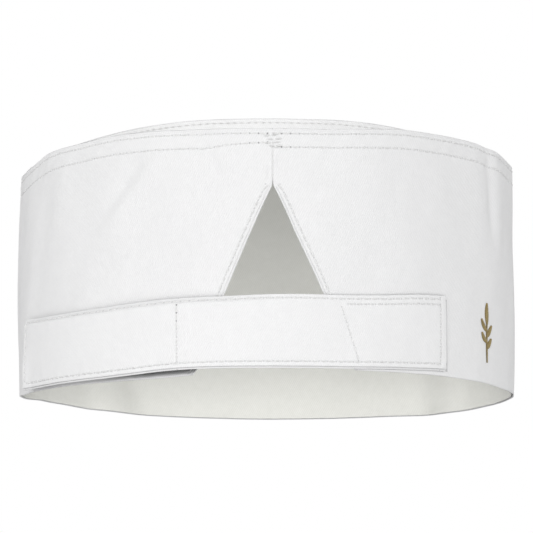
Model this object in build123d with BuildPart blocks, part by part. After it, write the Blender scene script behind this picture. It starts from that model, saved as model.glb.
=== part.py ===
from build123d import *
import math
import os
from bisect import bisect_right

# Spa headband: an open-topped stiffened fabric band, low at the nape and tall over the
# forehead, with an inverted-V vent at the back that a hook-and-loop strap closes.
# Millimetres. +Z is up, -Y is the back (vent and strap), +Y the forehead, +X the side on
# the right of somebody who looks at the back. z = 0 is the bottom edge of the band.
# "arc" is the arc length round the outside, 0 at the centre back and positive towards +X.
# "out" is the distance outwards from the outer fabric's face, negative inside the fabric.

# ------------------------------------------------------------------ driving dimensions
HALF_WIDTH = 90.0            # outer half width over the ears
DEPTH_BACK = 92.9            # plan centre to centre back
DEPTH_FRONT = 89.2           # plan centre to centre front
SIDE_FLATNESS = -0.042       # third harmonic of x round the plan
END_POINT = 0.078            # third harmonic of y round the plan
PLAN_SHIFT = 2.86            # moves the plan so that the box is centred on the origin
PLAN_STEPS = 2880            # steps in the table of arc lengths

HEIGHT_BACK = 80.0           # band height at the nape
RISE_SLOPE = 0.24            # half the slope of the rim over the front
RISE_ROUND = 20.0            # how gently the level rim turns into the rising one
RIM_DROP = 0.5               # takes off the little the rise already adds at the nape
RIM_STATIONS = [             # y of the points through which the rim's spline runs
    -115, -95, -75, -60, -45, -32, -22, -13, -5, 3, 11, 19, 28, 40, 55, 72, 90, 112,
]

FABRIC_T = 0.45              # outer twill, lining twill and both fabrics of the strap
CORE_T = 0.30                # stiff interlining
LAYER_GAP = 0.05             # air between two sewn layers
CORE_SETBACK = 3.0           # interlining stops short of the hems
LINING_SETBACK = 0.3         # lining and strap backing lie inside the outer's edges

VENT_APEX = 60.9             # height at which the vent's two edges meet
VENT_HALF_FOOT = 27.4        # half width of the vent at the bottom edge
VENT_CORNER_R = 0.8          # rounding of one corner of the cutting triangle

STRAP_W = 25.0               # strap width, bottom edge level with the band's
STRAP_RIGHT = 67.0           # arc of the end that is sewn down
STRAP_LEFT = -108.0          # arc of the free end
ANCHOR_ARC = 21.4            # where the sewn end stops and the strap leaves the band
GRIP_ARC = -31.0             # where the free end starts and the strap can peel
JOINT_GAP = 0.05             # half the slit between two pieces that fold at a crease

TAPE_W = 20.0                # hook and loop tape width
FIELD_W = 17.0               # width of the hooks and of the pile on their tapes
FIELD_SETBACK = 2.5          # hooks and pile stop short of the tape's ends
TAPE_RIGHT = GRIP_ARC - 2.0
TAPE_LEFT = STRAP_LEFT + 1.5
HOOK_ROWS = 12
HOOK_ROW_HALF = 0.35         # half the height of one row of hooks

# inner and outer distance of each layer of the closure, from the band outwards
LOOP_WEB = (LAYER_GAP, 0.40)
LOOP_PILE = (LOOP_WEB[1], 1.35)
HOOKS = (LOOP_PILE[1] + LAYER_GAP, 1.95)
HOOK_WEB = (HOOKS[1], 2.35)
STRAP_LIE = LAYER_GAP                  # inner face of the strap at the sewn end
STRAP_LIFT = HOOK_WEB[1] + LAYER_GAP   # inner face of the strap over the tapes

THREAD = 0.28                # sewing thread, as laid
HALF_THREAD = THREAD / 2
THREAD_GAP = 0.02            # air between a fabric and the thread on it
HEM_ROW_1 = 1.6              # rows of stitches below the top edge
HEM_ROW_2 = 6.3
EDGE_ROW = 1.6               # row inside the strap's edges
VENT_ROW = 2.0               # row beside the vent's edges
ROW_CLEAR = HALF_THREAD + 0.1  # rows stop just short of a row they meet

# working sizes of the blanks and cutters, which reach past what is kept
BLANK_TOP = 135              # above the highest point of the rim
HEM_BLANK_FOOT = 60          # below the lowest hem row
CUT_FLOOR = -5               # below the bottom edge
CUT_DEPTH = 140              # from the XZ plane out past the centre back
CUT_HALF_WIDTH = 120         # past the sides

# ------------------------------------------------------------------ plan curve
MEAN_DEPTH = 0.5 * (DEPTH_BACK + DEPTH_FRONT)
DEPTH_DIFF = 0.5 * (DEPTH_FRONT - DEPTH_BACK)
WIDEST = max(
    math.cos(k * math.pi / 3600) + SIDE_FLATNESS * math.cos(k * math.pi / 1200)
    for k in range(1800)
)


def plan_point(angle):
    x = HALF_WIDTH * (math.cos(angle) + SIDE_FLATNESS * math.cos(3 * angle)) / WIDEST
    y = MEAN_DEPTH * (math.sin(angle) - END_POINT * math.sin(3 * angle)) / (1 + END_POINT)
    return x, y + DEPTH_DIFF * (1 - math.cos(2 * angle)) / 2 + PLAN_SHIFT


ANGLES = [-math.pi / 2 + 2 * math.pi * k / PLAN_STEPS for k in range(PLAN_STEPS + 1)]
PLAN = [plan_point(angle) for angle in ANGLES]
ARCS = [0.0]
for here, after in zip(PLAN[:-1], PLAN[1:]):
    ARCS.append(ARCS[-1] + math.dist(here, after))
GIRTH = ARCS[-1]


def on_plan(arc, out=0.0):
    """Point at an arc length, a distance outwards from the outer face."""
    arc = arc % GIRTH
    k = bisect_right(ARCS, arc, 1, PLAN_STEPS) - 1
    share = (arc - ARCS[k]) / (ARCS[k + 1] - ARCS[k])
    angle = ANGLES[k] + share * (ANGLES[k + 1] - ANGLES[k])
    step = 1e-4
    x, y = plan_point(angle)
    x_before, y_before = plan_point(angle - step)
    x_after, y_after = plan_point(angle + step)
    run_x, run_y = x_after - x_before, y_after - y_before
    length = math.hypot(run_x, run_y)
    return x + out * run_y / length, y - out * run_x / length


def rim(y):
    """Height of the top edge: level round the back, rising over the front."""
    y = y - PLAN_SHIFT
    return HEIGHT_BACK + RISE_SLOPE * (y + math.sqrt(y * y + RISE_ROUND ** 2)) - RIM_DROP


def strap_inner(arc):
    """Inner face of the strap: flat on the band at the sewn end, over the tapes at the tip."""
    if arc >= ANCHOR_ARC:
        return STRAP_LIE
    if arc <= GRIP_ARC:
        return STRAP_LIFT
    share = (ANCHOR_ARC - arc) / (ANCHOR_ARC - GRIP_ARC)
    return STRAP_LIE + (STRAP_LIFT - STRAP_LIE) * share * share * (3 - 2 * share)


def above_strap(height):
    """Distance outwards, as a function of arc, of a face above the strap's inner face."""
    return lambda arc: strap_inner(arc) + height


# ------------------------------------------------------------------ shaping the open part
# These work on whichever BuildPart block is open where they are called.
def ring_points(out, count=96):
    return [on_plan(GIRTH * k / count, out) for k in range(count)]


def strip_points(arcs, out):
    return [on_plan(arc, out(arc) if callable(out) else out) for arc in arcs]


def add_strip(start, end, low, high, z_low, z_high):
    """Adds a strip along the band; low and high are distances or functions of arc."""
    count = max(6, int(abs(end - start) / 4))
    arcs = [start + (end - start) * k / count for k in range(count + 1)]
    with BuildSketch(Plane.XY.offset(z_low)) as sketch:
        with BuildLine():
            outer = Spline(*strip_points(arcs, high))
            inner = Spline(*strip_points(arcs, low))
            Line(outer @ 0, inner @ 0)
            Line(outer @ 1, inner @ 1)
        make_face()
    extrude(sketch.sketch, amount=z_high - z_low)


def add_ring(low, high, z_low, z_high, mode=Mode.ADD):
    """Adds a closed ring between two distances and two heights, or intersects with it."""
    with BuildSketch(Plane.XY.offset(z_low)) as sketch:
        with BuildLine():
            Spline(*ring_points(high), periodic=True)
        make_face()
        with BuildLine():
            Spline(*ring_points(low), periodic=True)
        make_face(mode=Mode.SUBTRACT)
    extrude(sketch.sketch, amount=z_high - z_low, mode=mode)


def below_rim(drop_top, drop_bottom=None):
    """Keeps what lies below a line parallel to the rim, and above a second one if given."""
    with BuildSketch(Plane.YZ) as sketch:
        with BuildLine():
            top = Spline(*[(y, rim(y) - drop_top) for y in RIM_STATIONS])
            if drop_bottom is None:
                front, back = RIM_STATIONS[-1], RIM_STATIONS[0]
                Polyline(top @ 1, (front, CUT_FLOOR), (back, CUT_FLOOR), top @ 0)
            else:
                low = Spline(*[(y, rim(y) - drop_bottom) for y in RIM_STATIONS])
                Line(top @ 0, low @ 0)
                Line(top @ 1, low @ 1)
        make_face()
    extrude(sketch.sketch, amount=CUT_HALF_WIDTH, both=True, mode=Mode.INTERSECT)


VENT_SLOPE = VENT_HALF_FOOT / VENT_APEX
VENT_SKEW = math.hypot(1, VENT_SLOPE)  # sideways offset per unit square to the vent's edge


def cut_vent(grow):
    """Cuts the inverted V of the vent, its edges moved outwards by grow."""
    apex = VENT_APEX + grow * VENT_SKEW / VENT_SLOPE
    foot = VENT_SLOPE * (apex - CUT_FLOOR)
    with BuildSketch(Plane.XZ) as sketch:
        with BuildLine():
            Polyline((0, apex), (foot, CUT_FLOOR), (-foot, CUT_FLOOR), close=True)
        make_face()
        # All corners have z = 0 in the sketch's own frame, so this takes the last listed.
        fillet(sketch.vertices().sort_by(Axis.Z)[-1], VENT_CORNER_R)
    extrude(sketch.sketch, amount=CUT_DEPTH, mode=Mode.SUBTRACT)


def save(builder, name):
    builder.part.label = name
    export_step(builder.part, f"parts/{name}.step")


os.makedirs("parts", exist_ok=True)

# ------------------------------------------------------------------ the band's layers
CORE_OUT = -FABRIC_T - LAYER_GAP
CORE_IN = CORE_OUT - CORE_T
LINING_OUT = CORE_IN - LAYER_GAP
LINING_IN = LINING_OUT - FABRIC_T

BAND_LAYERS = [  # name, inner distance, outer distance, setback from every edge
    ("band_outer", -FABRIC_T, 0.0, 0.0),
    ("band_interlining", CORE_IN, CORE_OUT, CORE_SETBACK),
    ("band_lining", LINING_IN, LINING_OUT, LINING_SETBACK),
]
for name, low, high, setback in BAND_LAYERS:
    with BuildPart() as layer:
        add_ring(low, high, setback, BLANK_TOP)
        below_rim(setback)
        cut_vent(setback)
    save(layer, name)

# ------------------------------------------------------------------ the band's sewing
BAND_THREAD = (THREAD_GAP, THREAD_GAP + THREAD)  # distances of thread on the outer face


def add_thread_rings(z_low, z_high):
    """Adds rings as thick as the thread on the outer face and on the lining's inside."""
    add_ring(*BAND_THREAD, z_low, z_high)
    add_ring(LINING_IN - THREAD_GAP - THREAD, LINING_IN - THREAD_GAP, z_low, z_high)


# the two rows of the top hem
for name, drop in (("upper", HEM_ROW_1), ("lower", HEM_ROW_2)):
    with BuildPart() as hem_row:
        add_thread_rings(HEM_BLANK_FOOT, BLANK_TOP)
        below_rim(drop - HALF_THREAD, drop + HALF_THREAD)
    save(hem_row, f"top_hem_stitching_{name}")

VENT_ROW_FOOT = 26.2         # heights between which the rows beside the vent run
VENT_ROW_TOP = 63.4
VENT_RING_FOOT = 25.6        # heights of the rings they are cut from
VENT_RING_TOP = 65


def vent_row(side):
    """Cutter for the row beside one edge of the vent; side is 1 for +X, -1 for -X."""
    near = (VENT_ROW - HALF_THREAD) * VENT_SKEW
    far = (VENT_ROW + HALF_THREAD) * VENT_SKEW
    corners = [
        (VENT_ROW_FOOT, near),
        (VENT_ROW_TOP, near),
        (VENT_ROW_TOP, far),
        (VENT_ROW_FOOT, far),
    ]
    with BuildSketch(Plane.XZ) as sketch:
        with BuildLine():
            points = [(side * (VENT_SLOPE * (VENT_APEX - z) + off), z) for z, off in corners]
            Polyline(*points, close=True)
        make_face()
    return extrude(sketch.sketch, amount=CUT_DEPTH, mode=Mode.PRIVATE)


# rows that hold the turned edges of the vent, outside and inside
with BuildPart() as vent_stitching:
    add_thread_rings(VENT_RING_FOOT, VENT_RING_TOP)
    legs = vent_row(1) + vent_row(-1)
    add(legs, mode=Mode.INTERSECT)
save(vent_stitching, "vent_edge_stitching")

# upright thread of the centre-back seam, between the lower hem row and the vent
SEAM_FOOT = 64.8
SEAM_TOP = HEIGHT_BACK - HEM_ROW_2 - 0.6
with BuildPart() as seam:
    add_strip(-HALF_THREAD, HALF_THREAD, *BAND_THREAD, SEAM_FOOT, SEAM_TOP)
save(seam, "centre_back_stitching")

# back tack between the two hem rows at the centre back: three short bars
TACK_HALF = 2.6              # half the length of a bar
TACK_TOP = HEIGHT_BACK - HEM_ROW_1 - 1.0
TACK_PITCH = 1.1
with BuildPart() as tack:
    for k in range(3):
        z = TACK_TOP - TACK_PITCH * k
        add_strip(-TACK_HALF, TACK_HALF, *BAND_THREAD, z - THREAD, z)
save(tack, "hem_back_tack")

# ------------------------------------------------------------------ the strap
STRAP_T = 2 * FABRIC_T + LAYER_GAP
STRAP_OUTER = (above_strap(FABRIC_T + LAYER_GAP), above_strap(STRAP_T))
STRAP_BACKING = (above_strap(0.0), above_strap(FABRIC_T))

# The anchor is the sewn end, the bridge crosses the vent and rises on to the tapes, and
# the tip is the free end. The backing is set back only at the strap's own two ends.
STRAP_PIECES = [  # name, start, end, backing's setback at the start and at the end
    ("anchor", ANCHOR_ARC + JOINT_GAP, STRAP_RIGHT, 0, LINING_SETBACK),
    ("bridge", GRIP_ARC + JOINT_GAP, ANCHOR_ARC - JOINT_GAP, 0, 0),
    ("tip", STRAP_LEFT, GRIP_ARC - JOINT_GAP, LINING_SETBACK, 0),
]
for name, start, end, start_setback, end_setback in STRAP_PIECES:
    with BuildPart() as strap_outer:
        add_strip(start, end, *STRAP_OUTER, 0, STRAP_W)
    save(strap_outer, f"strap_{name}_outer")

    with BuildPart() as strap_backing:
        add_strip(start + start_setback, end - end_setback, *STRAP_BACKING,
                  LINING_SETBACK, STRAP_W - LINING_SETBACK)
    save(strap_backing, f"strap_{name}_backing")

# ------------------------------------------------------------------ hook and loop tapes
TAPE_Z = (STRAP_W - TAPE_W) / 2
FIELD_Z = (STRAP_W - FIELD_W) / 2
FIELD_LEFT = TAPE_LEFT + FIELD_SETBACK
FIELD_RIGHT = TAPE_RIGHT - FIELD_SETBACK

# webs: the hook tape's inside the strap's free end, the loop tape's on the band's -X side
for name, web in (("hook", HOOK_WEB), ("loop", LOOP_WEB)):
    with BuildPart() as tape_web:
        add_strip(TAPE_LEFT, TAPE_RIGHT, *web, TAPE_Z, TAPE_Z + TAPE_W)
    save(tape_web, f"{name}_tape_web")

# the hooks, as rows that run along the tape
with BuildPart() as hooks:
    pitch = FIELD_W / HOOK_ROWS
    for k in range(HOOK_ROWS):
        z = FIELD_Z + pitch * (k + 0.5)
        add_strip(FIELD_LEFT, FIELD_RIGHT, *HOOKS, z - HOOK_ROW_HALF, z + HOOK_ROW_HALF)
save(hooks, "hook_tape_hooks")

# the brushed pile
with BuildPart() as pile:
    add_strip(FIELD_LEFT, FIELD_RIGHT, *LOOP_PILE, FIELD_Z, FIELD_Z + FIELD_W)
save(pile, "loop_tape_pile")

# ------------------------------------------------------------------ the strap's sewing
STRAP_THREAD_IN = STRAP_T + THREAD_GAP
STRAP_THREAD = (above_strap(STRAP_THREAD_IN), above_strap(STRAP_THREAD_IN + THREAD))
CREASE = 0.75                # rows stop short of a crease, so that they never meet there
Z_LOW, Z_HIGH = EDGE_ROW, STRAP_W - EDGE_ROW
SLANT_TOP, SLANT_FOOT = 22.6, 29.2  # x of the slanted row's two ends


def add_row_pair(start, end, thread, z_low, z_high):
    """Adds a lower and an upper row that run along the band."""
    for z in (z_low, z_high):
        add_strip(start, end, *thread, z - HALF_THREAD, z + HALF_THREAD)


def add_upright_row(arc, thread, z_low, z_high):
    add_strip(arc - HALF_THREAD, arc + HALF_THREAD, *thread, z_low, z_high)


# the slanted row beside the vent, kept apart until it is joined to the others
with BuildPart() as slanted_row:
    add_ring(STRAP_LIE + STRAP_THREAD_IN, STRAP_LIE + STRAP_THREAD_IN + THREAD,
             Z_LOW + ROW_CLEAR, Z_HIGH - ROW_CLEAR)
    with BuildSketch(Plane.XZ) as slant:
        with BuildLine():
            Polyline(
                (SLANT_TOP - HALF_THREAD, Z_HIGH),
                (SLANT_TOP + HALF_THREAD, Z_HIGH),
                (SLANT_FOOT + HALF_THREAD, Z_LOW),
                (SLANT_FOOT - HALF_THREAD, Z_LOW),
                close=True,
            )
        make_face()
    extrude(slant.sketch, amount=CUT_DEPTH, mode=Mode.INTERSECT)

# sewn end: the slanted row, rows along both edges and one up the end
with BuildPart() as anchor_stitching:
    add(slanted_row.part)
    end = STRAP_RIGHT - EDGE_ROW
    add_row_pair(ANCHOR_ARC + CREASE, end - ROW_CLEAR, STRAP_THREAD, Z_LOW, Z_HIGH)
    add_upright_row(end, STRAP_THREAD, Z_LOW - HALF_THREAD, Z_HIGH + HALF_THREAD)
save(anchor_stitching, "strap_anchor_stitching")

# middle: one row along each edge
with BuildPart() as bridge_stitching:
    add_row_pair(GRIP_ARC + CREASE, ANCHOR_ARC - CREASE, STRAP_THREAD, Z_LOW, Z_HIGH)
save(bridge_stitching, "strap_bridge_stitching")

# free end: rows along both edges and one up the end
with BuildPart() as tip_stitching:
    end = STRAP_LEFT + EDGE_ROW
    add_row_pair(end + ROW_CLEAR, GRIP_ARC - CREASE, STRAP_THREAD, Z_LOW, Z_HIGH)
    add_upright_row(end, STRAP_THREAD, Z_LOW - HALF_THREAD, Z_HIGH + HALF_THREAD)
save(tip_stitching, "strap_tip_stitching")

# the upright row beside the grip crease, short of the strap's edge rows
HOOK_ROW_ARC = GRIP_ARC - 1.9
HOOK_ROW_SETBACK = 0.5
with BuildPart() as hook_stitching:
    add_upright_row(HOOK_ROW_ARC, STRAP_THREAD,
                    Z_LOW + HOOK_ROW_SETBACK, Z_HIGH - HOOK_ROW_SETBACK)
save(hook_stitching, "hook_tape_stitching")

# the row round the loop tape, on the margin outside its pile
LOOP_ROW_SIDE = 0.8          # inside the tape's long edges
LOOP_ROW_END = 1.2           # inside the tape's ends
with BuildPart() as loop_stitching:
    thread = (LOOP_WEB[1] + THREAD_GAP, LOOP_WEB[1] + THREAD_GAP + THREAD)
    z_low, z_high = TAPE_Z + LOOP_ROW_SIDE, TAPE_Z + TAPE_W - LOOP_ROW_SIDE
    left, right = TAPE_LEFT + LOOP_ROW_END, TAPE_RIGHT - LOOP_ROW_END
    add_row_pair(left + ROW_CLEAR, right - ROW_CLEAR, thread, z_low, z_high)
    for arc in (left, right):
        add_upright_row(arc, thread, z_low - HALF_THREAD, z_high + HALF_THREAD)
save(loop_stitching, "loop_tape_stitching")

# ------------------------------------------------------------------ embroidery
SPRIG_ARC = 92.0             # origin of the sprig's own plane
SPRIG_Z = 16.0
SPRIG_T = 0.40               # thickness of the satin stitch
SPRIG_BLANK = 4              # extrusion and ring height that the sprig is cut from
SPRIG_RING_TOP = 40
STEM_W, STEM_LENGTH = 0.7, 14.0
STEM_CENTRE_Y = -2.0
LEAVES = [  # height of the base on the stem, length, width, angle from the band's run
    (3.5, 6.5, 3.0, 90),
    (-1.5, 5.6, 2.4, 42),
    (-0.3, 5.6, 2.4, 138),
    (-5.0, 5.0, 2.4, 42),
    (-3.8, 5.0, 2.4, 138),
]


def sprig_plane():
    """Plane just inside the band's outer face, x along the band, y up, z outwards."""
    x_in, y_in = on_plan(SPRIG_ARC, -1.0)
    x_out, y_out = on_plan(SPRIG_ARC, 1.0)
    x_before, y_before = on_plan(SPRIG_ARC - 1)
    x_after, y_after = on_plan(SPRIG_ARC + 1)
    return Plane(
        origin=(x_in, y_in, SPRIG_Z),
        x_dir=(x_after - x_before, y_after - y_before, 0),
        z_dir=(x_out - x_in, y_out - y_in, 0),
    )


def leaf(base_y, length, width, angle):
    """Outline of one leaf: two arcs that meet at its base and its tip."""
    run_x, run_y = math.cos(math.radians(angle)), math.sin(math.radians(angle))

    def at(along, aside):
        return run_x * along - run_y * aside, base_y + run_y * along + run_x * aside

    base, tip = at(0, 0), at(length, 0)
    return [
        ThreePointArc(base, at(length / 2, width / 2), tip),
        ThreePointArc(tip, at(length / 2, -width / 2), base),
    ]


# a stem and five leaves, following the band's curve
leaf_outlines = [leaf(*row) for row in LEAVES]
with BuildPart() as sprig:
    with BuildSketch(sprig_plane()) as motif:
        with Locations((0, STEM_CENTRE_Y)):
            Rectangle(STEM_W, STEM_LENGTH)
        for outline in leaf_outlines:
            make_face(outline)
    extrude(motif.sketch, amount=SPRIG_BLANK)
    add_ring(THREAD_GAP, THREAD_GAP + SPRIG_T, 0, SPRIG_RING_TOP, mode=Mode.INTERSECT)
save(sprig, "embroidered_sprig")
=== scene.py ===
"""A sewn band of white twill with a strap that closes over a vent.

The band is a closed oval, 180 mm across X, standing near z = 0 with its axis along Z. Its
centre back, with a seam over a triangular vent, faces -Y; its front, towards +Y, is taller.
The strap is sewn to the band right of the vent (+X), crosses it, and is held on the left by
hook and loop tape.

Lengths are millimetres and meshes are written in metres. A place on the cloth is given by
arc: length round the outside from the centre back, positive towards +X
z:   nominal height, before the sewn edges wander
off: distance outwards from the outer fabric's face
"""
import math

import bpy
import numpy as np
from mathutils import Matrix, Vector


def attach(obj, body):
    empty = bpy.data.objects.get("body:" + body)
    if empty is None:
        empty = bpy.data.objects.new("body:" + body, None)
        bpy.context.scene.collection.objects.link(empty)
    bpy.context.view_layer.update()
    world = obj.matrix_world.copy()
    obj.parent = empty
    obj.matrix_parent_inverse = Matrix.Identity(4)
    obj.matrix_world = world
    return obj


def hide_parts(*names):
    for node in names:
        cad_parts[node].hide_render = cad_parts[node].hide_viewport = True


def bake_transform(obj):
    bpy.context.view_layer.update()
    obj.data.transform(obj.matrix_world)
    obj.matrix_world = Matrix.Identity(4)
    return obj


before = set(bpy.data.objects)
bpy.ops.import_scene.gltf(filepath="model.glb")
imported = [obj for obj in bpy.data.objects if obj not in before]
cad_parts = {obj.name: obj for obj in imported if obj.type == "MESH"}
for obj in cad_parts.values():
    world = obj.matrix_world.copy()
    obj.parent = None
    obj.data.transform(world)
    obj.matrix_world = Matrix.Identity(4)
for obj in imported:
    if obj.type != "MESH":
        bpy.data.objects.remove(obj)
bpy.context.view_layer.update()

TAU = 2 * math.pi
MM = 1e-3

# ------------------------------------------------------------------ plan curve
HALF_WIDTH, DEPTH_BACK, DEPTH_FRONT, SHIFT_Y = 90.0, 92.9, 89.2, 2.86
THIRD_X, THIRD_Y = -0.042, 0.078  # third harmonics that shape the oval
MEAN_DEPTH = 0.5 * (DEPTH_BACK + DEPTH_FRONT)
DEPTH_SKEW = 0.5 * (DEPTH_FRONT - DEPTH_BACK)
QUARTER = np.linspace(0, math.pi / 2, 4001)
WIDEST = np.max(np.cos(QUARTER) + THIRD_X * np.cos(3 * QUARTER))


def oval(angle):
    x = HALF_WIDTH * (np.cos(angle) + THIRD_X * np.cos(3 * angle)) / WIDEST
    y = MEAN_DEPTH * (np.sin(angle) - THIRD_Y * np.sin(3 * angle)) / (1 + THIRD_Y)
    return x, y + DEPTH_SKEW * (1 - np.cos(2 * angle)) / 2 + SHIFT_Y


ANGLES = np.linspace(-math.pi / 2, 1.5 * math.pi, 14401)
ARCS = np.r_[0, np.cumsum(np.hypot(*np.diff(oval(ANGLES))))]
GIRTH = float(ARCS[-1])


def plan(arc):
    """x, y and the outward normal's x, y."""
    angle = np.interp(np.mod(arc, GIRTH), ARCS, ANGLES)
    x, y = oval(angle)
    x_before, y_before = oval(angle - 1e-4)
    x_after, y_after = oval(angle + 1e-4)
    along_x, along_y = x_after - x_before, y_after - y_before
    size = np.hypot(along_x, along_y)
    return x, y, along_y / size, -along_x / size


def place(arc, off, z):
    x, y, out_x, out_y = plan(arc)
    return np.stack([x + out_x * off, y + out_y * off, z], -1)


def signed(arc):
    """The same place with arc between -GIRTH/2 and GIRTH/2."""
    return np.mod(np.asarray(arc, float) + GIRTH / 2, GIRTH) - GIRTH / 2


def ease(start, end, value):
    """0 at start, 1 at end, eased; start may be the larger."""
    part = np.clip((value - start) / (end - start), 0, 1)
    return part * part * (3 - 2 * part)


def ridge(across, width):
    return np.exp(-(across / width) ** 2)


def ridges(across, table):
    """Sum of soft ridges; table rows are (centre, half width, height)."""
    return sum(rise * ridge(across - centre, width) for centre, width, rise in table)


def ripple(run, pitch, rise, wobble=0.0):
    return rise * np.sin(TAU * run / pitch + wobble)


def blurred(padded, reach, spread):
    kernel = np.exp(-0.5 * (np.arange(-reach, reach + 1) / spread) ** 2)
    return np.convolve(padded, kernel / kernel.sum(), "valid")


def around(arc, table):
    """Smooth lookup on the closed curve; table rows are (arc, value)."""
    arcs, values = np.array(table, float).T
    arcs = np.r_[arcs[-1] - GIRTH, arcs, arcs[0] + GIRTH]
    values = np.r_[values[-1], values, values[0]]
    fine = np.linspace(-GIRTH / 2, GIRTH / 2, 1127)
    level = np.interp(fine, arcs, values)
    level = blurred(np.r_[level[-13:-1], level, level[1:13]], reach=12, spread=5.0)
    return np.interp(signed(arc), fine, level)


def along_strap(arc, table):
    """Smooth lookup along the strap; table rows are (arc, value)."""
    arcs, values = np.array(table, float).T
    fine = np.linspace(-130, 80, 841)
    level = np.pad(np.interp(fine, arcs, values), 30, mode="edge")
    return np.interp(arc, fine, blurred(level, reach=30, spread=14.0))


# ------------------------------------------------------------------ heights
RIM_BACK, RIM_SLOPE, RIM_ROUNDING = 79.5, 0.24, 20.0

# How far the rim and the foot wander up or down: (arc, rise)
RIM_RISE = [
    (-275, 2.0), (-262, 2.0), (-250, 2.2), (-236, 2.0), (-222, 1.6), (-200, 0.8), (-175, 0.2),
    (-165, -0.9), (-154, -2.2), (-140, -3.0), (-128, -3.0), (-120, -2.7), (-112, -1.9),
    (-105, -0.8), (-98, 0.4), (-90, 0.8), (-75, 0.9), (-60, 1.3), (-42, 0.7), (-24, -0.1),
    (0, -0.4), (20, 0.0), (35, 1.3), (48, 2.6), (60, 3.1), (72, 3.5), (85, 3.6), (98, 3.0),
    (112, 2.1), (125, 1.6), (150, 1.4), (175, 2.0), (200, 3.2), (217, 4.0), (232, 4.0),
    (248, 3.4), (264, 2.6)]
FOOT_RISE = [
    (-275, 0.6), (-240, 0.8), (-205, 1.1), (-190, 1.6), (-170, 1.5), (-155, 0.4), (-140, -0.4),
    (-121, -1.8), (-99, -2.0), (-76, -2.4), (-60, -2.7), (-45, -2.7), (-34, -2.5), (-27, -2.0),
    (-15, -0.6), (0, -0.2), (15, -0.1), (30, -0.4), (60, 0.1), (90, 0.0), (110, -0.5),
    (130, -0.2), (150, 0.0), (170, -0.2), (185, -0.7), (205, -0.7), (225, 0.0), (260, 0.5)]


def height(arc):
    """Nominal height of the rim, rising towards the front."""
    y = plan(arc)[1] - SHIFT_Y
    return RIM_BACK + RIM_SLOPE * (y + np.hypot(y, RIM_ROUNDING))


def settle_z(arc, z):
    """Where a nominal height ends up, once the edges wander as sewn cloth does."""
    part = np.clip(z / height(arc), -0.2, 1.2)
    return z + (1 - part) * around(arc, FOOT_RISE) + part * around(arc, RIM_RISE)


# ------------------------------------------------------------------ soft folds
# Ridges and hollows from one point to another: (arc, z, arc, z, half width, height)
FOLDS = [
    (-40, 72, -60, 49, 2.8, 0.85), (-47, 70, -63, 54, 2.4, -0.65), (-24, 76, -17.5, 60, 2.3, -1.1),
    (-15, 76, -12, 58, 2.4, 0.36), (-30, 72, -33, 52, 4.0, 0.28), (-24, 44, -24, 24, 4.0, 0.25),
    (-40, 52, -42, 30, 6.0, -0.20), (6.5, 56, 8.5, 46, 1.5, -0.30), (14, 54, 17, 38, 3.0, 0.2),
    (94, 80, 98, 52, 2.0, -0.75), (101, 80, 104, 44, 3.6, 0.55), (86, 78, 88, 58, 3.0, 0.35),
    (47, 79, 50, 24, 8.0, 0.35), (58, 79, 63, 20, 7.0, -0.25), (28, 74, 34, 50, 6.0, 0.2),
    (-82, 76, -88, 34, 6.0, 0.35), (-95, 74, -101, 20, 5.0, -0.3), (-110, 70, -112, 10, 6.0, 0.4),
    (130, 80, 124, 12, 8.0, 0.6), (150, 88, 158, 30, 9.0, -0.8), (176, 96, 170, 34, 9.0, 0.8),
    (200, 104, 207, 40, 8.0, -0.7), (226, 112, 222, 30, 9.0, 0.8), (250, 118, 254, 26, 8.0, -0.6),
    (273, 122, 270, 50, 9.0, 0.6), (-262, 118, -258, 20, 8.0, -0.8), (-243, 115, -247, 10, 7.0, 0.9),
    (-226, 112, -222, 36, 8.0, -0.7), (-205, 104, -210, 16, 9.0, 0.7), (-182, 96, -176, 30, 8.0, -0.8),
    (-158, 88, -162, 20, 8.0, 0.8), (-134, 82, -130, 18, 8.0, -0.6), (-226, 20, -236, -2, 6.0, 1.5),
    (-212, 18, -216, -2, 6.0, -1.2), (214, 22, 206, -2, 6.0, 1.3), (196, 20, 190, -2, 6.0, -1.0),
    (235, 16, 240, -2, 8.0, -0.8)]
# Waves round the whole band: (count, turn per mm of z, phase, height)
WAVES = [(9, 0.05, 0.7, 0.16), (14, -0.07, 2.1, 0.12), (23, 0.11, 4.0, 0.08), (41, -0.16, 1.0, 0.05)]


def folds(arc, z):
    arc = signed(arc)
    out = 0.0
    for arc0, z0, arc1, z1, width, rise in FOLDS:
        run, drop = float(signed(arc1 - arc0)), z1 - z0
        length = math.hypot(run, drop)
        from_start = signed(arc - arc0)
        along = (from_start * run + (z - z0) * drop) / length ** 2
        across = (from_start * drop - (z - z0) * run) / length
        fade = ease(-0.25, 0.2, along) * (1 - ease(0.75, 1.3, along))
        out = out + rise * fade * np.exp(-0.5 * (across / width) ** 2)
    for count, turn, phase, rise in WAVES:
        out = out + rise * np.sin(count * TAU * arc / GIRTH + turn * z + phase)
    return out


def side_swell(arc, z):
    """The sides swell past the plan curve, most at the top right; the lower left draws in."""
    arc = signed(arc)
    right = ease(70, 102, arc) * (1 - ease(168, 205, arc))
    left = ease(-70, -98, arc) * (1 - ease(-168, -200, arc))
    right_swell = 1.0 + 1.2 * ease(52, 84, z) + 0.4 * ease(20, 0, z)
    left_swell = 0.45 * ease(18, 44, z) - 0.55 * ease(24, 2, z)
    return right * right_swell + left * left_swell


def belly(arc, z):
    """The wall stands a little fuller half way up than at its hems."""
    part = np.clip(z / height(arc), 0, 1)
    fullness = np.sin(math.pi * np.clip(0.12 + 0.76 * part, 0, 1)) ** 1.2
    return -0.7 + 0.9 * fullness + side_swell(arc, z)


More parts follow.
